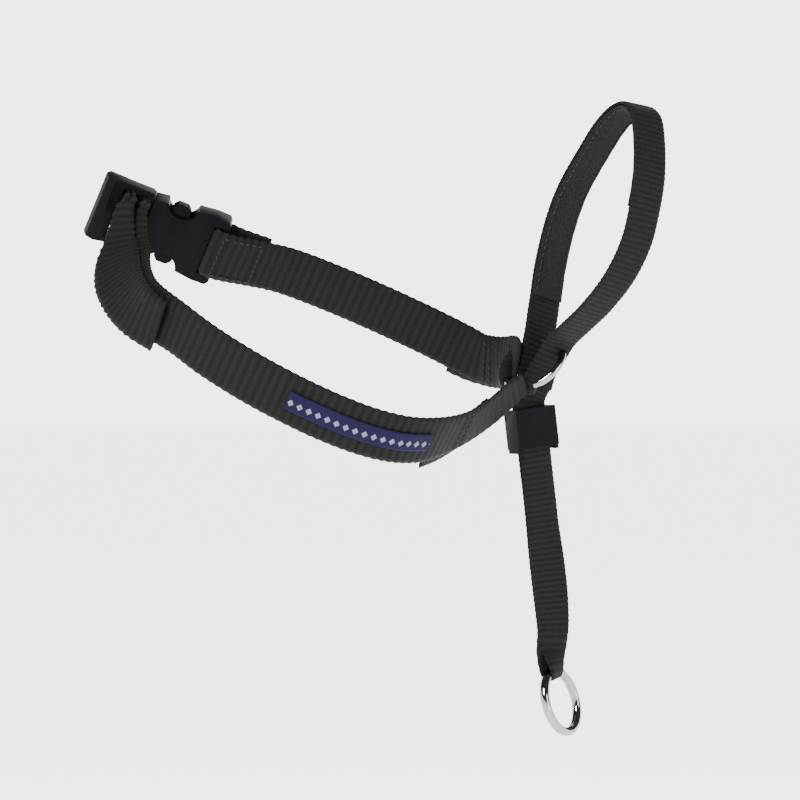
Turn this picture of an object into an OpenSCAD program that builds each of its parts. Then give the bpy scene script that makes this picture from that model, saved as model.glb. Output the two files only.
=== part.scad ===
// Head halter: a neck strap with a side-release buckle, a centre ring, a lined nose loop,
// a slide clamp on the loop's doubled tail, and a leash ring.
// Units are millimetres, +Z is up, and the origin is the middle of the neck opening.

/* [Webbing] */
// Width of the neck webbing
neck_w = 19; // [17:0.5:20]
// Thickness of the neck webbing
neck_t = 1.6; // [1.2:0.1:1.8]
// Width of the nose webbing
nose_w = 12.7; // [11:0.1:13]
// Thickness of the nose webbing
nose_t = 1.3; // [1:0.1:1.4]
// Thickness of the soft nose lining
lining_t = 1.4; // [1:0.1:2]

/* [Rings] */
// Radius of the centre ring, to the middle of its wire
centre_ring_r = 11.3; // [11:0.1:11.6]
// Wire radius of the centre ring
centre_wire_r = 1.3; // [1:0.1:1.4]
// Radius of the leash ring, to the middle of its wire
leash_ring_r = 10.9; // [10:0.1:11.2]
// Wire radius of the leash ring
leash_wire_r = 1.65; // [1.4:0.05:1.8]

/* [Buckle] */
// Width of the buckle
buckle_w = 25; // [24.5:0.5:26]
// Thickness of the buckle
buckle_t = 7.5; // [7:0.5:8]

/* [Clamp] */
// Height of the slide clamp
clamp_h = 15.5; // [14:0.5:16]
// Width of the slide clamp
clamp_w = 16.8; // [16.4:0.1:18]
// Thickness of the slide clamp
clamp_t = 8; // [7.5:0.5:8.5]

/* [Hidden] */

webbing_colour = [0.2, 0.2, 0.21];
plastic_colour = [0.13, 0.12, 0.14];
metal_colour = [0.82, 0.82, 0.84];
clearance = 0.35;

// The neck loop leans towards the wearer's throat by these two angles
neck_roll = 25;
neck_pitch = 25;
// The nose loop, clamp and tail are turned about the vertical by this angle
head_turn = 30;

// Routes are rows of [x, y, z, twist in degrees, width as a part of the webbing's width].
// The neck routes are in the neck loop's own leaning frame, the others in the part's frame.
front_route = [[-44, -37, 0, 0, 1], [-30, -43.5, 0, 0, 1], [-12, -48.5, 0, 0, 1], [8, -50.5, 0, 0, 1],
    [26, -49, 0, 0, 1], [40, -43.5, 0, 0, 1], [50, -34, 0, 0, 1], [57, -22.5, 0.5, 4, 1],
    [62.5, -12, 2.5, 4, 1], [67.2, -2.5, 7.4, 0, 0.9], [71, 4.8, 13.4, -6, 0.64], [72.9, 7.8, 16.2, -10, 0.46]];
front_fold_route = [[51.5, -28.8, -4.5, 0, 1], [57, -19, -3.5, 4, 1], [61.5, -9.5, 0, 4, 1],
    [65, -0.5, 5.5, 0, 0.9], [67.8, 5.6, 10.4, -6, 0.74]];
back_route = [[-49.5, 35.5, 0, 0, 1], [-40, 38.7, 0, 0, 1], [-22, 45.5, 0, 0, 1], [-4, 49, 0, 0, 1],
    [16, 50.5, 0, 0, 1], [34, 50.5, 0, 0, 1], [48, 49.5, 0, 0, 1], [57, 46.5, 1, 6, 1],
    [62.5, 40, 5.5, 12, 0.95], [65, 32, 11, 12, 0.85]];
back_fold_route = [[46, 51.7, -2.5, 0, 1], [53, 50.8, -2, 2, 1], [59.3, 47.9, 0.5, 8, 1],
    [64.9, 40.7, 5.5, 12, 0.95], [67.3, 32.6, 11, 12, 0.85]];
socket_fold_route = [[-48.5, 37.7, 0, 0, 1], [-40, 40.8, 0, 0, 1], [-31, 44.5, 0, 0, 1]];
label_route = [[1, -51.5, 0, 0, 1], [8, -51.9, 0, 0, 1], [26.3, -50.4, 0, 0, 1], [40.8, -44.8, 0, 0, 1],
    [51.2, -35, 0, 0, 1]];
turn_route = [[-77.5, 27.5, 3, -50, 0.4], [-75.5, 19, -2, -52, 0.6], [-73, 9, -4.5, -45, 0.9],
    [-70, -3, -5, -36, 1], [-64, -17, -4, -24, 1], [-56.5, -28, -2, -10, 1], [-45.5, -36.3, 0, 0, 1]];
tail_route = [[-82.2, 26.5, 3, -50, 0.4], [-79.5, 17.5, -3, -52, 0.6], [-76.5, 7, -6, -45, 0.9],
    [-72.5, -6, -6.5, -36, 1], [-66.7, -20.4, -5.8, -24, 1], [-59, -31.6, -4, -10, 1], [-50, -37.2, -2.6, 0, 1]];

nose_route = [[80, 19, 4, 0, 1], [81, 21.5, 10, 0, 1], [82, 24, 16, 0, 1], [84, 28, 28.5, 0, 1],
    [87.5, 29, 43, 0, 1], [92, 27, 55.5, 0, 1], [98.5, 20, 67.5, 0, 1], [105.5, 11, 78.5, 0, 1],
    [112, 3, 83.5, 0, 1], [116, -6, 80, 0, 1], [117, -12, 70, 0, 1], [116.5, -17, 57.5, 0, 1],
    [114.5, -19, 45.5, 0, 1], [111.5, -18, 33.5, 0, 1], [106, -14, 22, 0, 1], [98.5, -7, 12, 0, 1],
    [91, 1, 4.5, 0, 1], [86.5, 6.5, 0, 0, 1]];
throat_front_route = [[83.5, 8.5, -5, 0, 0.9], [80.5, 10.5, -10, 0, 0.9], [78.8, 11, -15.2, 0, 0.82]];
throat_back_route = [[78.4, 16.8, -1.6, 0, 0.85], [77.4, 15.4, -7.5, 0, 0.85], [77.3, 13.6, -15.2, 0, 0.82]];
tail_strand_route = [[75.6, 11.9, -20.5, 0, 1], [76.9, 12.6, -31.5, 0, 1], [78.3, 13.5, -44, 0, 1],
    [79.6, 14.2, -55, 0, 1], [80.8, 14.9, -66, 2, 1], [82.4, 15.4, -79, 15, 1], [83.7, 15.3, -91, 26, 0.97],
    [84.4, 14.8, -101, 33, 0.9], [84.3, 14.4, -107.5, 35, 0.8]];

nose_axis = [0.87, 0.47, -0.14];
tail_axis = [cos(head_turn), sin(head_turn), 0];
ring_middle = [77.5, 12, -7.7];
ring_lean = [0, 48, 231];
leash_lean = [-15, -8.6, 61];
tail_fold_middle = [84, 14.2, -117.5];
buckle_place = [-94, 29.3, 0];
buckle_turn = 9;
socket_start = 19.5;
socket_length = 29;
end_bar_w = 8;
clamp_place = [76.75, 12.5, -30.8];
clamp_lean = -7.5;

function unit(v) = v / norm(v);
function spline_row(a, b, c, d, t) =
    0.5 * (2 * b + (c - a) * t + (2 * a - 5 * b + 4 * c - d) * t * t + (3 * b - a - 3 * c + d) * t * t * t);
function smooth(route, steps) =
    let (last = len(route) - 1)
    [for (i = [0:last - 1], k = [0:steps - 1])
        spline_row(route[max(i - 1, 0)], route[i], route[i + 1], route[min(i + 2, last)], k / steps),
        route[last]];
function place(row) = [row[0], row[1], row[2]];
function along(rows, i) = unit(place(rows[min(i + 1, len(rows) - 1)]) - place(rows[max(i - 1, 0)]));
function across(up, run, twist) =
    let (flat = unit(up - (up * run) * run))
    flat * cos(twist) + cross(run, flat) * sin(twist);
function section(row, run, up, w, t, lift) =
    let (side = across(up, run, row[3]), out = cross(run, side), mid = place(row) + out * lift)
    [for (c = [[-1, -1], [1, -1], [1, 1], [-1, 1]]) mid + side * (c[0] * w * row[4] / 2) + out * (c[1] * t / 2)];

// A flat band that follows a route: lift moves it off the route along its own thickness
module band(route, up, w, t, steps, lift = 0) {
    rows = smooth(route, steps);
    count = len(rows);
    corners = [for (i = [0:count - 1], p = section(rows[i], along(rows, i), up, w, t, lift)) p];
    sides = [for (i = [0:count - 2], k = [0:3], half = [0, 1])
        let (a = 4 * i + k, b = 4 * i + (k + 1) % 4)
        half == 0 ? [a, b, b + 4] : [a, b + 4, a + 4]];
    ends = [[3, 2, 1, 0], [for (k = [0:3]) 4 * (count - 1) + k]];
    polyhedron(points = corners, faces = concat(sides, ends), convexity = 6);
}

module neck_frame() rotate([neck_roll, neck_pitch, 0]) children();
module buckle_frame() neck_frame() translate(buckle_place) rotate([0, 0, buckle_turn]) children();
module ring_frame() translate(ring_middle) rotate(ring_lean) children();
module fold_frame() translate(tail_fold_middle) rotate(leash_lean) children();
module clamp_frame() translate(clamp_place) rotate([0, clamp_lean, head_turn]) children();

// Webbing that wraps a ring's wire over part of its round
module ring_wrap(ring_r, wire_r, t, start, sweep) {
    rotate([0, 0, start])
        rotate_extrude(angle = sweep, $fn = 72)
            translate([ring_r, 0])
                difference() {
                    circle(r = wire_r + clearance + t, $fn = 32);
                    circle(r = wire_r + clearance, $fn = 32);
                }
}

module round_ring(ring_r, wire_r) rotate_extrude($fn = 72) translate([ring_r, 0]) circle(r = wire_r, $fn = 32);

module neck_front_strap() color(webbing_colour) neck_frame() band(front_route, [0, 0, 1], neck_w, neck_t, 5);
module neck_front_fold() color(webbing_colour) neck_frame() band(front_fold_route, [0, 0, 1], neck_w, neck_t, 4, -0.35);
module front_ring_wrap() color(webbing_colour) ring_frame() ring_wrap(centre_ring_r, centre_wire_r, 1.2, -24, 50);
module neck_back_strap() color(webbing_colour) neck_frame() band(back_route, [0, 0, 1], neck_w, neck_t, 5);
module neck_back_fold() color(webbing_colour) neck_frame() band(back_fold_route, [0, 0, 1], neck_w, neck_t, 4, 0);
module back_ring_wrap() color(webbing_colour) ring_frame() ring_wrap(centre_ring_r, centre_wire_r, 1.2, -128, 46);
module socket_strap_fold() color(webbing_colour) neck_frame() band(socket_fold_route, [0, 0, 1], neck_w, neck_t, 4);
module strap_label() color([0.15, 0.12, 0.4]) neck_frame() band(label_route, [0, 0, 1], 7, 0.6, 6);
module strap_turn() color(webbing_colour) neck_frame() band(turn_route, [0, 0, 1], neck_w, neck_t, 5);
module strap_tail() color(webbing_colour) neck_frame() band(tail_route, [0, 0, 1], neck_w, neck_t, 5);
module nose_strap() color(webbing_colour) band(nose_route, nose_axis, nose_w, nose_t, 4);
module nose_lining() color([0.25, 0.25, 0.26]) band([for (i = [2:12]) nose_route[i]], nose_axis, nose_w, lining_t, 4,
    -(nose_t + lining_t) / 2 - 0.15);
module throat_front_strand() color(webbing_colour) band(throat_front_route, tail_axis, nose_w, nose_t, 5);
module throat_back_strand() color(webbing_colour) band(throat_back_route, tail_axis, nose_w, nose_t, 5);
module tail_front_strand() color(webbing_colour) band(tail_strand_route, tail_axis, nose_w, nose_t, 4, 0.8);
module tail_back_strand() color(webbing_colour) band(tail_strand_route, tail_axis, nose_w, nose_t, 4, -0.8);
module centre_ring() color(metal_colour) ring_frame() round_ring(centre_ring_r, centre_wire_r);
module leash_ring() color(metal_colour) fold_frame() translate([0, 0, -leash_ring_r]) rotate([90, 0, 0])
    round_ring(leash_ring_r, leash_wire_r);

// The tail's webbing where it turns round the leash ring's wire
module tail_ring_fold() {
    turn_r = 2.9;
    color(webbing_colour) fold_frame() rotate([90, 0, 90]) translate([0, 0, -4.2]) linear_extrude(8.4)
        difference() {
            union() {
                circle(r = turn_r + nose_t, $fn = 48);
                polygon([[-4.1, 0.8], [4.1, 0.8], [1.9, 8.6], [-1.9, 8.6]]);
            }
            circle(r = turn_r, $fn = 48);
            polygon([[-2.8, 0.7], [2.8, 0.7], [0.3, 7.6], [-0.3, 7.6]]);
        }
}

// The buckle lies along X, its inner face towards -Y and its width along Z
module plate(x, y, z, size) translate([x, y, z]) cube(size);

module buckle_socket() {
    half = buckle_w / 2;
    rear = socket_start + socket_length;
    thick = buckle_t / 2;
    color(plastic_colour) buckle_frame()
        difference() {
            rotate([90, 0, 0]) translate([0, 0, -thick]) linear_extrude(buckle_t)
                polygon([[socket_start, -half + 1.5], [socket_start + 5, -half + 0.8], [36, -half], [rear - 6, -half - 0.8],
                    [rear - 1, -half - 0.6], [rear, -half + 0.8], [rear, half - 0.8], [rear - 1, half + 0.6],
                    [rear - 6, half + 0.8], [36, half], [socket_start + 5, half - 0.8], [socket_start, half - 1.5]]);
            // hollow for the prongs
            plate(socket_start - 1, -2.6, -9.6, [21, 5.2, 19.2]);
            // side windows for the prongs' pads
            for (side = [-1, 1])
                translate([30, 0, side * 13.2]) rotate([90, 0, 0]) cylinder(r = 5.8, h = 12, center = true, $fn = 48);
            // slot for the webbing
            plate(rear - 5.5, -thick - 1, -9.8, [3.4, buckle_t + 2, 19.6]);
        }
}

module tongue_frame() {
    half = buckle_w / 2;
    color(plastic_colour) buckle_frame() {
        translate([0, 0, -half]) linear_extrude(buckle_w)
            polygon([[0, 0.5], [1.2, -2.8], [4, -4], [end_bar_w, -2.2], [end_bar_w, 2.6], [1.4, 3]]);
        for (side = [-1, 1])
            plate(end_bar_w - 0.5, -2.4, side * 11.2 - 1.3, [11, 4.8, 2.6]);
        plate(12.8, -1.2, -10.2, [2.2, 2.4, 20.4]);
        plate(18, -2.4, -12, [1.3, 4.8, 24]);
        plate(18.8, -2.2, -9.2, [2.6, 4.4, 18.4]);
        plate(21, -1.3, -1.6, [17, 2.6, 3.2]);
    }
}

module prong(side) {
    color(plastic_colour) buckle_frame() rotate([90, 0, 0]) translate([0, 0, -2.1]) linear_extrude(4.2)
        polygon([for (p = [[21.7, 4.2], [21.7, 7.4], [26.2, 8.4], [26.8, 10.6], [28.2, 12], [31.8, 12], [33.2, 10.6],
            [33.8, 8.6], [36.5, 6.8], [36.5, 5.6], [30, 5.8]]) [p[0], p[1] * side]]);
}
module upper_prong() prong(1);
module lower_prong() prong(-1);

// The webbing's turn behind the tongue's middle bar
module ladder_wrap() {
    color(webbing_colour) buckle_frame() translate([0, 0, -9.3]) linear_extrude(18.6)
        difference() {
            translate([11, -1.8]) square([5.8, 5]);
            translate([12.6, -2]) square([2.6, 3.5]);
        }
}

// The clamp stands on the tail: X is its width, -Y its front and Z its height
clamp_pin_y = 3.1;
clamp_pin_z = 5;
clamp_pin_r = 0.8;
module clamp_axle(r, length) translate([0, clamp_pin_y, clamp_pin_z]) rotate([0, 90, 0])
    cylinder(r = r, h = length, center = true, $fn = 32);

module clamp_body() {
    wall = 1.5;
    color(plastic_colour) clamp_frame()
        difference() {
            union() {
                plate(-clamp_w / 2, -clamp_t / 2, -clamp_h / 2 + 1.4, [clamp_w, clamp_t, clamp_h - 1.4]);
                for (side = [-1, 1])
                    plate(side * (clamp_w - wall) / 2 - wall / 2, -clamp_t / 2 + 0.6, -clamp_h / 2, [wall, clamp_t - 1.2, 3]);
            }
            plate(-7.1, -2, -clamp_h / 2 - 1, [14.2, clamp_t, clamp_h + 2]);
            clamp_axle(clamp_pin_r, clamp_w + 2);
        }
}

module clamp_pin() color(plastic_colour) clamp_frame() clamp_axle(clamp_pin_r, clamp_w - 0.4);

module clamp_lever() color(plastic_colour) clamp_frame()
    difference() {
        union() {
            clamp_axle(1.5, 13.6);
            plate(-6.8, 2.2, -6.4, [13.6, 1.6, 11.4]);
            plate(-4.5, 3.2, -7.4, [9, 1.8, 3]);
        }
        clamp_axle(clamp_pin_r + 0.06, 20);
    }

neck_front_strap();
neck_front_fold();
front_ring_wrap();
neck_back_strap();
neck_back_fold();
back_ring_wrap();
socket_strap_fold();
strap_label();
ladder_wrap();
strap_turn();
strap_tail();
buckle_socket();
tongue_frame();
upper_prong();
lower_prong();
centre_ring();
nose_strap();
nose_lining();
throat_front_strand();
throat_back_strand();
clamp_body();
clamp_lever();
clamp_pin();
tail_front_strand();
tail_back_strand();
tail_ring_fold();
leash_ring();
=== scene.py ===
"""Head halter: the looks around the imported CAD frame. Lengths here are millimetres until mesh_object()."""
import math

import bmesh
import bpy
import numpy as np
from mathutils import Matrix, Vector


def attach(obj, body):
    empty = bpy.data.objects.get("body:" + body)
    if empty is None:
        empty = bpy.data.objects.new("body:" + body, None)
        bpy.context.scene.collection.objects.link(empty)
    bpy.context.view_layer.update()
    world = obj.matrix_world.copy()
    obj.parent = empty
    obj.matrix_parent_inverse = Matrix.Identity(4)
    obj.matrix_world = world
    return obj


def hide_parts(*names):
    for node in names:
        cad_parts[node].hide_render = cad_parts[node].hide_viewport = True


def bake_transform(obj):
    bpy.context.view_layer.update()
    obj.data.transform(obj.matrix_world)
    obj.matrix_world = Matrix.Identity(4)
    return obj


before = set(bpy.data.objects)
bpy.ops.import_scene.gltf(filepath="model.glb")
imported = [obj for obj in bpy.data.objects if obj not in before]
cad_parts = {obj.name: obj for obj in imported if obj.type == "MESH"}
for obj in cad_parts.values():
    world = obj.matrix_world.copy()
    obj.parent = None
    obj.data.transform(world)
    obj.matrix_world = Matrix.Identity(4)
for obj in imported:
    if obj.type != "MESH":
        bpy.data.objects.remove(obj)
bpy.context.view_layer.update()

MM = 0.001
NECK_W, NECK_T, NOSE_W, NOSE_T, LINING_T = 19.0, 1.6, 12.7, 1.3, 1.4
NECK_PITCH, NOSE_PITCH = 3.0, 1.95
CENTRE_R, CENTRE_WIRE, LEASH_R, LEASH_WIRE = 11.3, 1.3, 10.9, 1.65
HEAD_TURN = 30.0
LABEL_W, LABEL_T, LABEL_PITCH = 7.0, 0.6, 0.8
LADDER_W, LADDER_T = 19.4, 2.5
GATHER_EXTRA = 1.4
NOSE_RIB, NOSE_SCALLOP = 0.12, 0.16
THREAD_LIFT = 0.1


# ---------------------------------------------------------------- frames and routes
# Rows are x, y, z, twist and width factor. They follow the CAD source's routes, but not exactly: the front
# run is a little wider at the ring, and the back run reaches across the ring and round the socket's bar.
def turned(x, y, z, place=(0, 0, 0)):
    """The matrix of a rotation about X, then Y, then Z, then a move."""
    rx, ry, rz = (Matrix.Rotation(math.radians(a), 4, k) for a, k in ((x, "X"), (y, "Y"), (z, "Z")))
    return Matrix.Translation(place) @ rz @ ry @ rx


WORLD = Matrix.Identity(4)
NECK = turned(25, 25, 0)
BUCKLE = NECK @ turned(0, 0, 9, (-94, 29.3, 0))
RING = turned(0, 48, 231, (77.5, 12, -7.7))
FOLD = turned(-15, -8.6, 61, (84, 14.2, -117.5))

FRONT = [[-44, -37, 0, 0, 1], [-30, -43.5, 0, 0, 1], [-12, -48.5, 0, 0, 1], [8, -50.5, 0, 0, 1],
         [26, -49, 0, 0, 1], [40, -43.5, 0, 0, 1], [50, -34, 0, 0, 1], [57, -22.5, 0.5, 4, 1],
         [62.5, -12, 2.6, 4, 1], [67.2, -2.5, 7.4, 0, 0.94], [71, 4.8, 13.5, -6, 0.7],
         [72.9, 7.8, 16.4, -10, 0.5]]
FRONT_FOLD = [[51.5, -28.8, -4.5, 0, 1], [57, -19, -3.5, 4, 1], [61.5, -9.5, 0, 4, 1],
              [64.6, -1.5, 5, 0, 0.7]]
BACK = [[-22, 45.5, 0, 0, 1], [-4, 49, 0, 0, 1],
        [16, 50.5, 0, 0, 1], [34, 50.5, 0, 0, 1], [48, 49.5, 0, 0, 1], [57, 46.5, 1, 6, 1],
        [62.5, 40, 5.5, 12, 0.97], [65, 32, 11, 12, 0.95], [66.6, 26, 15, 12, 0.88],
        [67.4, 20.5, 18, 14, 0.72]]
BACK_FOLD = [[46, 51.5, -2.5, 0, 1], [53, 50.5, -2, 2, 1], [59, 47.5, 0.5, 8, 1],
             [64.5, 40.5, 5.5, 12, 0.95], [67, 32.5, 11, 12, 0.85]]


def socket_rows(*points):
    """Neck route rows from x, y in the buckle's frame: the webbing's turn round the socket's bar."""
    local = NECK.inverted() @ BUCKLE
    return [[*(local @ Vector((x, y, 0)))[:2], 0, 0, 1] for x, y in points]


BACK = socket_rows((43.9, 1.4), (43.8, -2.4), (45.2, -4.6), (48.6, -4.9), (54, -3.2), (60, -0.4)) + BACK
SOCKET_FOLD = socket_rows((44.9, 0.4), (44.8, 2.8), (46.2, 4.9), (49.5, 5), (55, 4.6), (64.6, 5.6))
LABEL = [[1, -51.5, 0, 0, 1], [8, -51.9, 0, 0, 1], [26.3, -50.4, 0, 0, 1], [40.8, -44.8, 0, 0, 1],
         [51.2, -35, 0, 0, 1]]
TURN = [[-77.9, 32, 9.2, -46, 0.3], [-77.8, 30.4, 7, -50, 0.36], [-77.5, 27.5, 3, -50, 0.4],
        [-75.5, 19, -2, -52, 0.6], [-73, 9, -4.5, -45, 0.9], [-70, -3, -5, -36, 1],
        [-64, -17, -4, -24, 1], [-56.5, -28, -2, -10, 1], [-45.5, -36.3, 0, 0, 1]]
TAIL_END = [[-84.1, 31, 9.2, -46, 0.34], [-83.9, 29.6, 7, -50, 0.42], [-82.8, 26.5, 3, -50, 0.4],
            [-79.5, 17.5, -3, -52, 0.6], [-76.5, 7, -6, -45, 0.9], [-72.5, -6, -6.5, -36, 1],
            [-66, -20, -5.5, -24, 1], [-58.5, -31, -3.8, -10, 1], [-50, -37.2, -2.6, 0, 1]]
NOSE = [[80, 19, 4, 0, 1], [81, 21.5, 10, 0, 1], [82, 24, 16, 0, 1], [84, 28, 28.5, 0, 1],
        [87.5, 29, 43, 0, 1], [92, 27, 55.5, 0, 1], [98.5, 20, 67.5, 0, 1], [105.5, 11, 78.5, 0, 1],
        [112, 3, 83.5, 0, 1], [116, -6, 80, 0, 1], [117, -12, 70, 0, 1], [116.5, -17, 57.5, 0, 1],
        [114.5, -19, 45.5, 0, 1], [111.5, -18, 33.5, 0, 1], [106, -14, 22, 0, 1], [98.5, -7, 12, 0, 1],
        [91, 1, 4.5, 0, 1], [86.5, 6.5, 0, 0, 1]]
THROAT_FRONT = [[83.5, 8.5, -5, 0, 0.95], [80.5, 10.5, -10, 0, 0.95], [78.5, 11, -15.5, 0, 1]]
THROAT_BACK = [[77, 13.5, -15.5, 0, 1], [77.5, 15.5, -7, 0, 0.95]]
TAIL = [[75.6, 11.9, -20.5, 0, 1], [76.9, 12.6, -31.5, 0, 1], [78.3, 13.5, -44, 0, 1],
        [79.6, 14.2, -55, 0, 1], [80.8, 14.9, -66, 2, 1], [82.4, 15.4, -79, 15, 1],
        [83.7, 15.3, -91, 26, 0.97], [84.4, 14.8, -101, 33, 0.9], [84.3, 14.4, -107.5, 35, 0.8]]
NOSE_AXIS = (0.87, 0.47, -0.14)
TAIL_AXIS = (math.cos(math.radians(HEAD_TURN)), math.sin(math.radians(HEAD_TURN)), 0)


def smooth(route, steps):
    """Catmull-Rom rows through a route's rows."""
    r = np.array(route, float)
    rows = []
    for i in range(len(r) - 1):
        a, b, c, d = r[max(i - 1, 0)], r[i], r[i + 1], r[min(i + 2, len(r) - 1)]
        for k in range(steps):
            t = k / steps
            rows.append(0.5 * (2 * b + (c - a) * t + (2 * a - 5 * b + 4 * c - d) * t ** 2
                               + (3 * b - a - 3 * c + d) * t ** 3))
    rows.append(r[-1])
    return np.array(rows)


def ribbon(route, up, matrix=WORLD, lift=0.0, step=0.5):
    """Evenly spaced stations of a flat band: centre, side, out, width factor and length run so far."""
    rows = smooth(route, 12)
    run = np.gradient(rows[:, :3], axis=0)
    run /= np.linalg.norm(run, axis=1)[:, None]
    up = np.array(up, float)
    flat = up - (run @ up)[:, None] * run
    flat /= np.linalg.norm(flat, axis=1)[:, None]
    a = np.radians(rows[:, 3])[:, None]
    side = flat * np.cos(a) + np.cross(run, flat) * np.sin(a)
    out = np.cross(run, side)
    centre = rows[:, :3] + out * lift
    length = np.concatenate([[0], np.cumsum(np.linalg.norm(np.diff(centre, axis=0), axis=1))])
    at = np.linspace(0, length[-1], max(int(length[-1] / step), 4) + 1)
    pick = lambda v: np.stack([np.interp(at, length, v[:, k]) for k in range(v.shape[1])], 1)
    rot = np.array(matrix.to_3x3())
    move = np.array(matrix.translation)
    return {"centre": pick(centre) @ rot.T + move, "side": pick(side) @ rot.T, "out": pick(out) @ rot.T,
            "width": np.interp(at, length, rows[:, 4]), "length": at}


def joined(*parts):
    """One run of stations from several."""
    total, lengths = 0.0, []
    for p in parts:
        lengths.append(p["length"] + total)
        total = lengths[-1][-1] + 0.5
    whole = {k: np.concatenate([p[k] for p in parts]) for k in ("centre", "side", "out", "width")}
    whole["length"] = np.concatenate(lengths)
    return whole


def soften(st, middle, reach, rounds):
    """Evens out a band's stations around a join, so that its width and lie change gradually."""
    low, high = middle - reach, middle + reach
    for _ in range(rounds):
        for key in ("centre", "side", "width"):
            v = st[key]
            v[low:high] = (v[low - 1:high - 1] + v[low:high] + v[low + 1:high + 1]) / 3
    st["side"] /= np.linalg.norm(st["side"], axis=1)[:, None]
    run = np.gradient(st["centre"], axis=0)
    out = np.cross(run, st["side"])
    st["out"] = out / np.linalg.norm(out, axis=1)[:, None]


# ---------------------------------------------------------------- mesh helpers
def mesh_object(name, verts, faces, material, uvs=None, smooth_faces=True):
    mesh = bpy.data.meshes.new(name)
    points = [tuple(v * MM) for v in np.asarray(verts, float)]
    mesh.from_pydata(points, [], [tuple(map(int, f)) for f in faces])
    if uvs is not None:
        layer = mesh.uv_layers.new(name="UVMap")
        for loop in mesh.loops:
            layer.data[loop.index].uv = uvs[loop.vertex_index]
    mesh.polygons.foreach_set("use_smooth", [smooth_faces] * len(mesh.polygons))
    bm = bmesh.new()
    bm.from_mesh(mesh)
    bmesh.ops.recalc_face_normals(bm, faces=bm.faces)
    bm.to_mesh(mesh)
    bm.free()
    obj = bpy.data.objects.new(name, mesh)
    bpy.context.scene.collection.objects.link(obj)
    obj.data.materials.append(material)
    return obj


def webbing(name, st, width, thick, pitch, material, rib=0.16, scallop=0.28, fray=0.0):
    """Woven tape: transverse ribs in relief, scalloped selvedges, rounded edges; v runs across, u along."""
    cols = 15
    s = np.linspace(-1, 1, cols)
    edge = np.sqrt(np.clip(1 - np.abs(s) ** 10, 0.02, 1))
    verts, uvs = [], []
    count = len(st["length"])
    for i in range(count):
        u = st["length"][i]
        wave = 0.5 + 0.5 * math.cos(2 * math.pi * u / pitch)
        half = width * st["width"][i] / 2 + scallop * (wave - 0.5)
        end = 1.0
        if i == 0 or i == count - 1:
            end = 0.82
        swell = rib * (wave ** 0.7 - 0.6)
        top = (thick / 2 + swell) * edge * end
        low = -top
        wobble = fray * math.sin(u * 1.7 + 2.0)
        for k in range(cols):
            verts.append(st["centre"][i] + st["side"][i] * (half * s[k] + wobble) + st["out"][i] * top[k])
            uvs.append((u * MM, (s[k] + 1) * half * MM))
        for k in reversed(range(cols)):
            verts.append(st["centre"][i] + st["side"][i] * (half * s[k] + wobble) + st["out"][i] * low[k])
            uvs.append((u * MM, (s[k] + 1) * half * MM))
    ring = 2 * cols
    faces = []
    for i in range(count - 1):
        for k in range(ring):
            a, b = i * ring + k, i * ring + (k + 1) % ring
            faces.append((a, b, b + ring, a + ring))
    for base in (0, (count - 1) * ring):
        for k in range(cols - 1):
            faces.append((base + k, base + k + 1, base + ring - 2 - k, base + ring - 1 - k))
    return mesh_object(name, verts, faces, material, uvs)


def tube_ring(name, radius, wire, matrix, material, start=0.0, sweep=360.0, folds=0.0):
    """A torus, or part of one with closed ends; folds ruffles its surface like gathered webbing."""
    around, section = (144 if sweep == 360 else 44), 32
    closed = sweep == 360
    verts, faces = [], []
    for i in range(around + (0 if closed else 1)):
        a = math.radians(start + sweep * i / around)
        for k in range(section):
            b = 2 * math.pi * k / section
            r = wire + folds * math.sin(9 * math.pi * i / around * 2 + 0.6 * math.sin(b))
            if not closed and i in (0, around):
                r *= 0.9
            reach = radius + r * math.cos(b)
            p = Vector((reach * math.cos(a), reach * math.sin(a), r * math.sin(b)))
            verts.append(np.array(matrix @ p))
    rows = around if closed else around + 1
    for i in range(around):
        for k in range(section):
            a, b = i * section + k, i * section + (k + 1) % section
            c, d = ((i + 1) % rows) * section + (k + 1) % section, ((i + 1) % rows) * section + k
            faces.append((a, b, c, d))
    if not closed:
        faces.append(tuple(range(section)))
        faces.append(tuple(range(around * section, (around + 1) * section)))
    return mesh_object(name, verts, faces, material)


def moulded(node, material, bevel=0.35):
    """A CAD node's shape with rounded edges, as a moulding has; it stands for the node."""
    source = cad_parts[node]
    mesh = source.data.copy()
    obj = bpy.data.objects.new(node + "_moulded", mesh)
    bpy.context.scene.collection.objects.link(obj)
    bm = bmesh.new()
    bm.from_mesh(mesh)
    bmesh.ops.remove_doubles(bm, verts=bm.verts, dist=2e-6)
    bmesh.ops.dissolve_limit(bm, angle_limit=math.radians(2), verts=bm.verts, edges=bm.edges)
    bm.to_mesh(mesh)
    bm.free()
    mesh.materials.clear()
    mesh.materials.append(material)
    mesh.polygons.foreach_set("use_smooth", [True] * len(mesh.polygons))
    mod = obj.modifiers.new("edges", "BEVEL")
    mod.width, mod.segments, mod.limit_method, mod.angle_limit = bevel * MM, 3, "ANGLE", math.radians(32)
    mod.use_clamp_overlap = True
    mod.harden_normals = True
    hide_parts(node)
    return obj


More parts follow.
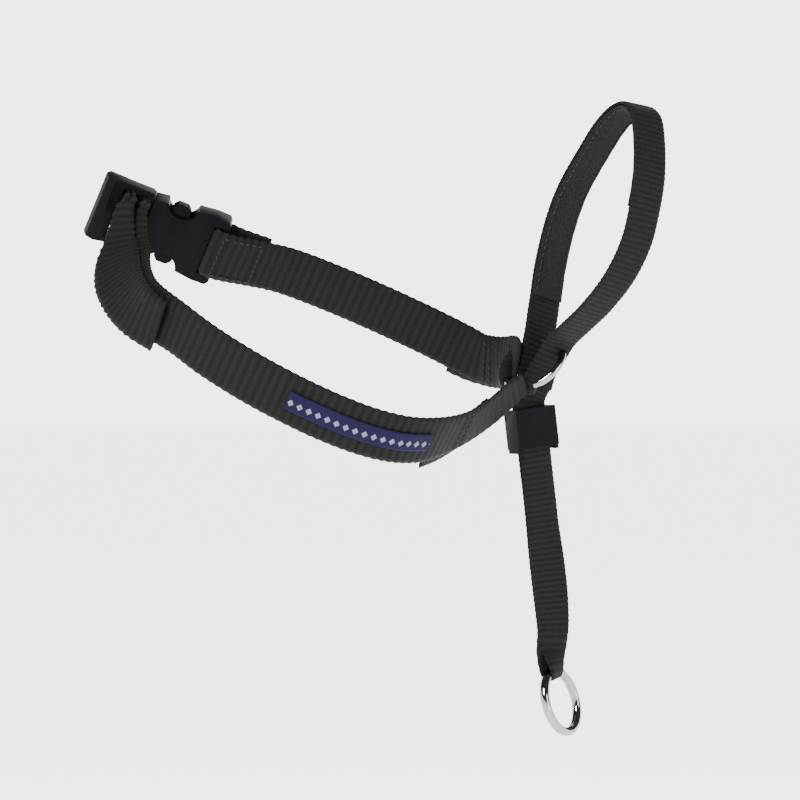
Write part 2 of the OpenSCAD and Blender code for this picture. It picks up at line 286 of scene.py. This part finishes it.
def stitches(name, marks, material, thread=0.26):
    """Short raised threads: each mark is (middle, direction, out, length)."""
    bm = bmesh.new()
    for mid, along, out, length in marks:
        along, out = Vector(along).normalized(), Vector(out).normalized()
        side = along.cross(out).normalized()
        rings = []
        for t, r in ((-1, 0.35), (-0.8, 0.85), (0, 1.0), (0.8, 0.85), (1, 0.35)):
            centre = Vector(mid) + along * (t * length / 2) + out * (0.18 * (1 - t * t))
            ring = []
            for k in range(8):
                a = 2 * math.pi * k / 8
                across, above = side * (math.cos(a) * r * thread), out * (math.sin(a) * r * thread)
                ring.append(bm.verts.new((centre + across + above) * MM))
            rings.append(ring)
        for a, b in zip(rings, rings[1:]):
            for k in range(8):
                bm.faces.new((a[k], a[(k + 1) % 8], b[(k + 1) % 8], b[k]))
        bm.faces.new(rings[0])
        bm.faces.new(list(reversed(rings[-1])))
    bmesh.ops.recalc_face_normals(bm, faces=bm.faces)
    mesh = bpy.data.meshes.new(name)
    bm.to_mesh(mesh)
    bm.free()
    mesh.polygons.foreach_set("use_smooth", [True] * len(mesh.polygons))
    obj = bpy.data.objects.new(name, mesh)
    bpy.context.scene.collection.objects.link(obj)
    obj.data.materials.append(material)
    return obj


# ---------------------------------------------------------------- materials
def shader(name):
    material = bpy.data.materials.new(name)
    material.use_nodes = True
    tree = material.node_tree
    return material, tree, tree.nodes["Principled BSDF"]


def link(tree, a, out, b, into):
    tree.links.new(a.outputs[out], b.inputs[into])


def ramp(tree, low, high, a=0.35, b=0.65):
    node = tree.nodes.new("ShaderNodeValToRGB")
    node.color_ramp.elements[0].position, node.color_ramp.elements[0].color = a, (*low, 1)
    node.color_ramp.elements[1].position, node.color_ramp.elements[1].color = b, (*high, 1)
    return node


def woven(name, dark, light, thread, pitch, bump=0.3, rough=0.7, sheen=0.06):
    """Nylon tape: fine yarns crossing along u and v, with a slow change of tone; its tone is also painted
    darker in each rib's valley and lighter on each crest, as painted shade and painted highlight.
    """
    material, tree, bsdf = shader(name)
    uv = tree.nodes.new("ShaderNodeUVMap")
    height = None
    for direction in ("X", "Y"):
        wave = tree.nodes.new("ShaderNodeTexWave")
        wave.bands_direction = direction
        wave.inputs["Scale"].default_value = 0.32 / (thread * MM)
        wave.inputs["Distortion"].default_value = 0.6
        wave.inputs["Detail"].default_value = 1.0
        link(tree, uv, "UV", wave, "Vector")
        if height is None:
            height = wave
        else:
            both = tree.nodes.new("ShaderNodeMath")
            both.operation = "MULTIPLY"
            tree.links.new(height.outputs["Fac"], both.inputs[0])
            tree.links.new(wave.outputs["Fac"], both.inputs[1])
    noise = tree.nodes.new("ShaderNodeTexNoise")
    noise.inputs["Scale"].default_value = 900
    noise.inputs["Detail"].default_value = 3
    coord = tree.nodes.new("ShaderNodeTexCoord")
    link(tree, coord, "Object", noise, "Vector")
    mix = tree.nodes.new("ShaderNodeMath")
    mix.operation = "MULTIPLY_ADD"
    tree.links.new(noise.outputs["Fac"], mix.inputs[0])
    mix.inputs[1].default_value = 0.5
    tree.links.new(both.outputs[0], mix.inputs[2])
    split = tree.nodes.new("ShaderNodeSeparateXYZ")
    link(tree, uv, "UV", split, "Vector")
    # painted shade and highlight: the tone follows the rib phase, darker in the valleys and lighter on the
    # crests
    phase = tree.nodes.new("ShaderNodeMath")
    phase.operation = "MULTIPLY"
    tree.links.new(split.outputs["X"], phase.inputs[0])
    phase.inputs[1].default_value = 2 * math.pi / (pitch * MM)
    rib = tree.nodes.new("ShaderNodeMath")
    rib.operation = "COSINE"
    tree.links.new(phase.outputs[0], rib.inputs[0])
    rib_shaded_tone = tree.nodes.new("ShaderNodeMath")
    rib_shaded_tone.operation = "MULTIPLY_ADD"
    tree.links.new(rib.outputs[0], rib_shaded_tone.inputs[0])
    rib_shaded_tone.inputs[1].default_value = 0.22
    tree.links.new(mix.outputs[0], rib_shaded_tone.inputs[2])
    colour = ramp(tree, dark, light, 0.1, 1.0)
    tree.links.new(rib_shaded_tone.outputs[0], colour.inputs["Fac"])
    link(tree, colour, "Color", bsdf, "Base Color")
    relief = tree.nodes.new("ShaderNodeBump")
    relief.inputs["Strength"].default_value = bump
    relief.inputs["Distance"].default_value = 0.00025
    tree.links.new(mix.outputs[0], relief.inputs["Height"])
    link(tree, relief, "Normal", bsdf, "Normal")
    bsdf.inputs["Roughness"].default_value = rough
    bsdf.inputs["Specular IOR Level"].default_value = 0.06
    bsdf.inputs["Sheen Weight"].default_value = sheen
    bsdf.inputs["Sheen Roughness"].default_value = 0.5
    return material


def grained(name, low, high, scale, bump, rough, metallic=0.0, specular=0.5, sheen=0.0):
    """A surface with fine grain in its colour, roughness and relief."""
    material, tree, bsdf = shader(name)
    coord = tree.nodes.new("ShaderNodeTexCoord")
    noise = tree.nodes.new("ShaderNodeTexNoise")
    noise.inputs["Scale"].default_value = scale
    noise.inputs["Detail"].default_value = 4
    link(tree, coord, "Object", noise, "Vector")
    colour = ramp(tree, low, high)
    link(tree, noise, "Fac", colour, "Fac")
    link(tree, colour, "Color", bsdf, "Base Color")
    spread = tree.nodes.new("ShaderNodeMapRange")
    spread.inputs["To Min"].default_value, spread.inputs["To Max"].default_value = rough
    link(tree, noise, "Fac", spread, "Value")
    link(tree, spread, "Result", bsdf, "Roughness")
    relief = tree.nodes.new("ShaderNodeBump")
    relief.inputs["Strength"].default_value = bump
    relief.inputs["Distance"].default_value = 0.0002
    link(tree, noise, "Fac", relief, "Height")
    link(tree, relief, "Normal", bsdf, "Normal")
    bsdf.inputs["Metallic"].default_value = metallic
    bsdf.inputs["Specular IOR Level"].default_value = specular
    bsdf.inputs["Sheen Weight"].default_value = sheen
    return material


def label_material():
    """A blue woven label with a plain row of pale lozenges and no lettering."""
    material, tree, bsdf = shader("label_weave")
    uv = tree.nodes.new("ShaderNodeUVMap")
    split = tree.nodes.new("ShaderNodeSeparateXYZ")
    link(tree, uv, "UV", split, "Vector")

    def maths(op, a, b=None):
        node = tree.nodes.new("ShaderNodeMath")
        node.operation = op
        for socket, value in zip(node.inputs, (a, b)):
            if value is None:
                continue
            if isinstance(value, (int, float)):
                socket.default_value = value
            else:
                tree.links.new(value, socket)
        return node.outputs[0]

    lozenge_pitch, middle, reach = 3.4 * MM, 3.0 * MM, 2.6 * MM
    part_way = maths("FRACT", maths("DIVIDE", split.outputs["X"], lozenge_pitch))
    along = maths("ABSOLUTE", maths("SUBTRACT", part_way, 0.5))
    across = maths("ABSOLUTE", maths("DIVIDE", maths("SUBTRACT", split.outputs["Y"], middle), reach))
    inside = maths("LESS_THAN", maths("ADD", maths("MULTIPLY", along, 1.5), across), 0.5)
    mix = tree.nodes.new("ShaderNodeMix")
    mix.data_type = "RGBA"
    tree.links.new(inside, mix.inputs["Factor"])
    mix.inputs["A"].default_value = (0.0045, 0.0026, 0.018, 1)
    mix.inputs["B"].default_value = (0.11, 0.11, 0.15, 1)
    tree.links.new(mix.outputs["Result"], bsdf.inputs["Base Color"])
    wave = tree.nodes.new("ShaderNodeTexWave")
    wave.inputs["Scale"].default_value = 900
    link(tree, uv, "UV", wave, "Vector")
    relief = tree.nodes.new("ShaderNodeBump")
    relief.inputs["Strength"].default_value = 0.2
    relief.inputs["Distance"].default_value = 0.0001
    link(tree, wave, "Fac", relief, "Height")
    link(tree, relief, "Normal", bsdf, "Normal")
    bsdf.inputs["Roughness"].default_value = 0.6
    bsdf.inputs["Specular IOR Level"].default_value = 0.06
    return material


# the tapes' dark tone: the gaps between yarns, and the painted shade in the rib valleys
YARN_GAP_AND_RIB_SHADE = (0.0012, 0.0012, 0.0012)
NECK_TAPE = woven("neck_tape", YARN_GAP_AND_RIB_SHADE, (0.0072, 0.0075, 0.0073), 0.5, NECK_PITCH, sheen=0.015)
NOSE_TAPE = woven("nose_tape", YARN_GAP_AND_RIB_SHADE, (0.0077, 0.008, 0.0078), 0.4, NOSE_PITCH, sheen=0.015)
LINING_CLOTH = grained("lining_cloth", (0.004, 0.0041, 0.004), (0.0085, 0.0088, 0.0086), 1300, 0.35,
                       (0.8, 0.95), specular=0.06, sheen=0.02)
THREAD = grained("thread", (0.008, 0.008, 0.008), (0.018, 0.018, 0.018), 2500, 0.2, (0.55, 0.75),
                 specular=0.1)
ACETAL = grained("moulded_plastic", (0.0018, 0.0011, 0.0021), (0.003, 0.0021, 0.0034), 1500, 0.06,
                 (0.34, 0.48), specular=0.03)
CHROME = grained("polished_metal", (0.2, 0.2, 0.205), (0.25, 0.25, 0.255), 160, 0.01, (0.03, 0.08),
                 metallic=1.0)
LABEL_WEAVE = label_material()


# ---------------------------------------------------------------- webbing
Z_UP = (0, 0, 1)


def neck_tape(name, route, body, node, lift=0.0, **kw):
    """A band of neck webbing standing for a CAD node; with no body it is left unattached."""
    obj = webbing(name, ribbon(route, Z_UP, NECK, lift), NECK_W, NECK_T, NECK_PITCH, NECK_TAPE, **kw)
    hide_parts(node)
    if body:
        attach(obj, body)
    return obj


front = neck_tape("neck_front_webbing", TURN[:-1] + FRONT, None, "neck_front_strap")
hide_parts("strap_turn")
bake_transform(front)
neck_tape("neck_front_fold_webbing", FRONT_FOLD, "collar", "neck_front_fold", lift=-0.35)
neck_tape("neck_back_webbing", BACK, "collar", "neck_back_strap")
neck_tape("neck_back_fold_webbing", BACK_FOLD, "collar", "neck_back_fold")
neck_tape("socket_fold_webbing", SOCKET_FOLD, "collar", "socket_strap_fold")
neck_tape("adjusting_end_webbing", TAIL_END, "tongue", "strap_tail", fray=0.12)

LADDER = [[9.9, -3.4, 0, 0, 1], [9.9, -0.5, 0, 0, 1], [11.2, 2.2, 0, 0, 1], [13.9, 3.4, 0, 0, 1],
          [16.4, 2.2, 0, 0, 1], [16.6, -0.5, 0, 0, 1], [16.6, -3.4, 0, 0, 1]]
ladder = webbing("ladder_webbing", ribbon(LADDER, Z_UP, BUCKLE, step=0.4), LADDER_W, LADDER_T, NECK_PITCH,
                 NECK_TAPE)
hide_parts("ladder_wrap")
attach(ladder, "tongue")

for name, node, start, sweep in (("front_ring_gather", "front_ring_wrap", -24, 50),
                                 ("back_ring_gather", "back_ring_wrap", -128, 82)):
    gather = tube_ring(name, CENTRE_R, CENTRE_WIRE + GATHER_EXTRA, RING, NECK_TAPE, start, sweep, folds=0.16)
    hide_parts(node)
    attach(gather, "collar")

label = webbing("strap_label_band", ribbon(LABEL, Z_UP, NECK), LABEL_W, LABEL_T, LABEL_PITCH, LABEL_WEAVE,
                rib=0.02, scallop=0.0)
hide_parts("strap_label")
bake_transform(label)

nose_stations = ribbon(THROAT_BACK + NOSE + THROAT_FRONT, NOSE_AXIS, step=0.35)
nose = webbing("nose_webbing", nose_stations, NOSE_W, NOSE_T, NOSE_PITCH, NOSE_TAPE, NOSE_RIB, NOSE_SCALLOP)
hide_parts("nose_strap", "throat_front_strand", "throat_back_strand")
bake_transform(nose)

# the lining lies inside the loop, a little narrower than the strap it is sewn to
lining_stations = ribbon(NOSE[2:13], NOSE_AXIS, lift=-(NOSE_T + LINING_T) / 2 - 0.1)
lining = webbing("nose_lining_pad", lining_stations, NOSE_W - 0.6, LINING_T, 7, LINING_CLOTH, rib=0.05,
                 scallop=0.08)
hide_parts("nose_lining")
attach(lining, "nose_loop")


def tail_strap():
    """Both strands of the tail and the fold between them, as the one strap that they are."""
    route = [[79, 12, -13, 0, 1]] + TAIL
    down = ribbon(route, TAIL_AXIS, lift=-0.8, step=0.35)
    up = ribbon(route, TAIL_AXIS, lift=0.8, step=0.35)
    fold = []
    turn_r = 2.9 + NOSE_T / 2
    for k in range(29):
        a = math.radians(-215 + 250 * k / 28)
        fold.append((turn_r * math.cos(a), turn_r * math.sin(a)))
    fold = [(-0.9, 8.6), (-1.5, 6.6), (-2.4, 4.2)] + fold + [(2.4, 4.2), (1.5, 6.6), (0.9, 8.6)]
    pts = np.array([[0, y, z] for y, z in fold])
    rot, move = np.array(FOLD.to_3x3()), np.array(FOLD.translation)
    run = np.gradient(pts, axis=0)
    run /= np.linalg.norm(run, axis=1)[:, None]
    side = np.tile([1.0, 0, 0], (len(pts), 1))
    length = np.concatenate([[0], np.cumsum(np.linalg.norm(np.diff(pts, axis=0), axis=1))])
    bend = {"centre": pts @ rot.T + move, "side": side @ rot.T, "out": np.cross(run, side) @ rot.T,
            "width": np.full(len(pts), 0.66), "length": length}
    back = {k: up[k][::-1].copy() for k in ("centre", "side", "out", "width")}
    back["out"] = -back["out"]
    back["length"] = up["length"]
    whole = joined(down, bend, back)
    for middle in (len(down["length"]), len(down["length"]) + len(bend["length"])):
        soften(whole, middle, reach=20, rounds=60)
    return whole


tail = webbing("tail_webbing", tail_strap(), NOSE_W, NOSE_T, NOSE_PITCH, NOSE_TAPE, NOSE_RIB, NOSE_SCALLOP)
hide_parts("tail_front_strand", "tail_back_strand", "tail_ring_fold")
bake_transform(tail)

# ---------------------------------------------------------------- stitching
def seam(name, st, offset, depth, spans, body, gap=2.6, thread_length=1.7):
    """Rows of stitches along a band: spans are (start, end) in mm along it, at these offsets across."""
    marks = []
    for across_mm in offset:
        for low, high in spans:
            for u in np.arange(low, min(high, st["length"][-1]), gap):
                i = int(np.searchsorted(st["length"], u))
                i = min(max(i, 1), len(st["length"]) - 2)
                mid = st["centre"][i] + st["side"][i] * across_mm + st["out"][i] * depth
                along = st["centre"][i + 1] - st["centre"][i - 1]
                marks.append((mid, along, st["out"][i] * np.sign(depth), thread_length))
    obj = stitches(name, marks, THREAD)
    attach(obj, body)


def cross_seam(name, st, at, half, depth, body):
    """Short rows of stitches across a band, where a fold is sewn down."""
    marks = []
    for u in at:
        i = min(max(int(np.searchsorted(st["length"], u)), 1), len(st["length"]) - 2)
        for k in np.arange(-half, half + 0.1, 2.2):
            mid = st["centre"][i] + st["side"][i] * k + st["out"][i] * depth
            marks.append((mid, st["side"][i], st["out"][i] * np.sign(depth), 1.5))
    obj = stitches(name, marks, THREAD)
    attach(obj, body)


back_stations = ribbon(BACK, Z_UP, NECK)
seam("socket_fold_seam", back_stations, (-7.6, 7.6), NECK_T / 2 + THREAD_LIFT, ((10, 24),), "collar")
cross_seam("socket_fold_tack", back_stations, (9, 24), 7, NECK_T / 2 + THREAD_LIFT, "collar")
cross_seam("back_ring_tack", back_stations, (118, 121), 7, NECK_T / 2 + THREAD_LIFT, "collar")
front_stations = ribbon(FRONT, Z_UP, NECK)
cross_seam("front_ring_tack", front_stations, (119, 122), 7, NECK_T / 2 + THREAD_LIFT, "collar")
lining_length = lining_stations["length"][-1]
seam("lining_seam", lining_stations, (-5, 5), -LINING_T / 2 - 0.12, ((2, lining_length - 2),),
     "nose_loop")

# ---------------------------------------------------------------- metal and plastic
leash_matrix = FOLD @ Matrix.Translation((0, 0, -LEASH_R)) @ Matrix.Rotation(math.radians(90), 4, "X")
RINGS = (("centre_ring_wire", "centre_ring", CENTRE_R, CENTRE_WIRE, RING),
         ("leash_ring_wire", "leash_ring", LEASH_R, LEASH_WIRE, leash_matrix))
for name, node, radius, wire, matrix in RINGS:
    ring = tube_ring(name, radius, wire, matrix, CHROME)
    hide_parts(node)
    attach(ring, node)

MOULDINGS = (("buckle_socket", "collar", 0.5), ("tongue_frame", "tongue", 0.4),
             ("upper_prong", "upper_prong", 0.35), ("lower_prong", "lower_prong", 0.35),
             ("clamp_body", "clamp", 0.4), ("clamp_lever", "clamp_lever", 0.25), ("clamp_pin", "clamp", 0.1))
for node, body, bevel in MOULDINGS:
    piece = moulded(node, ACETAL, bevel)
    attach(piece, body)

# ---------------------------------------------------------------- stage, light and camera
def floor():
    mesh = bpy.data.meshes.new("floor")
    s, z = 40.0, -0.33
    mesh.from_pydata([(-s, -s, z), (s, -s, z), (s, s, z), (-s, s, z)], [], [(0, 1, 2, 3)])
    obj = bpy.data.objects.new("floor", mesh)
    bpy.context.scene.collection.objects.link(obj)
    paint = grained("floor_paint", (0.93, 0.93, 0.93), (0.95, 0.95, 0.95), 3, 0.0, (0.9, 0.95))
    bsdf = paint.node_tree.nodes["Principled BSDF"]
    bsdf.inputs["Emission Color"].default_value = (1, 1, 1, 1)
    bsdf.inputs["Emission Strength"].default_value = 3.2
    obj.data.materials.append(paint)


def area_light(name, place, target, size, power):
    data = bpy.data.lights.new(name, "AREA")
    data.size, data.energy = size, power
    obj = bpy.data.objects.new(name, data)
    obj.location = place
    obj.rotation_euler = (Vector(target) - Vector(place)).to_track_quat("-Z", "Y").to_euler()
    bpy.context.scene.collection.objects.link(obj)


floor()
area_light("key", (-0.7, -1.3, 1.3), (0, 0, 0), 0.7, 85)
area_light("fill", (1.4, -1.0, 0.4), (0, 0, 0), 0.9, 20)
area_light("rim", (0.2, 1.3, 1.1), (0, 0, 0), 0.8, 8)

world = bpy.data.worlds.new("studio")
world.use_nodes = True
# pale round the horizon and dark overhead, so that metal and plastic have something dark to reflect
sky = world.node_tree
direction = sky.nodes.new("ShaderNodeTexCoord")
height = sky.nodes.new("ShaderNodeSeparateXYZ")
link(sky, direction, "Generated", height, "Vector")
fade = sky.nodes.new("ShaderNodeMapRange")
fade.interpolation_type = "SMOOTHSTEP"
for socket, value in (("From Min", 0.15), ("From Max", 0.32), ("To Min", 1.0), ("To Max", 0.03)):
    fade.inputs[socket].default_value = value
link(sky, height, "Z", fade, "Value")
link(sky, fade, "Result", sky.nodes["Background"], "Color")
sky.nodes["Background"].inputs["Strength"].default_value = 4.2
bpy.context.scene.world = world

camera_data = bpy.data.cameras.new("camera")
camera_data.lens, camera_data.sensor_width = 147.0, 36.0
camera_data.clip_end = 100.0
camera = bpy.data.objects.new("camera", camera_data)
camera.location = (0.0299, -1.15, -0.0204)
camera.rotation_euler = (math.radians(90), 0, 0)
bpy.context.scene.collection.objects.link(camera)
bpy.context.scene.camera = camera
